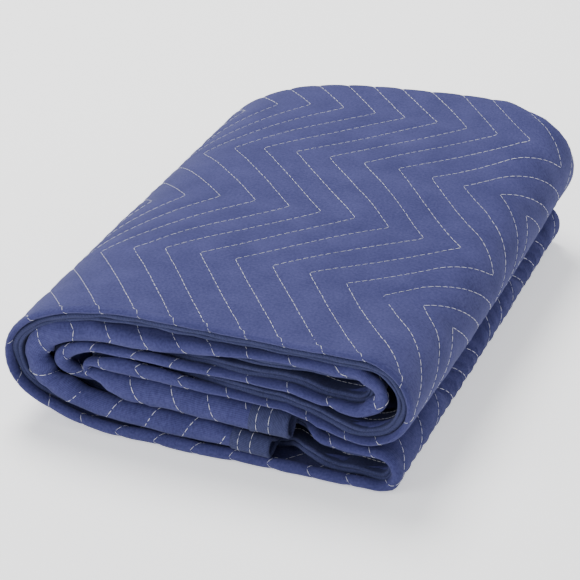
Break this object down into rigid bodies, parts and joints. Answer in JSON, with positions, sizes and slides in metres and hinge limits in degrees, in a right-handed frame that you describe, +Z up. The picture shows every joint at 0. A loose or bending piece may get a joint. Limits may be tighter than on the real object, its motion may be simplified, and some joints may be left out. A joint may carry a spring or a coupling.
{
  "type": "moving blanket",
  "caption": "quilted moving blanket folded back and forth into a flat oblong bundle, its taped edges and corners showing in the folds",
  "frame": {"origin": "on the surface the bundle lies on, under the middle of the bundle", "axes": "+X right along the front of the bundle, +Y toward its back folds, +Z up through its layers"},
  "size_m": [0.3141, 0.4428, 0.1123],
  "materials": {
    "cloth": "woven, matt, navy",
    "tape": "woven tape, matt, denim blue"
  },
  "bodies": {
    "root": {"quilted_panel": "cloth", "side_binding_inner": "tape", "side_binding_outer": "tape", "end_binding_low": "tape", "end_binding_high": "tape"}
  },
  "joints": []
}
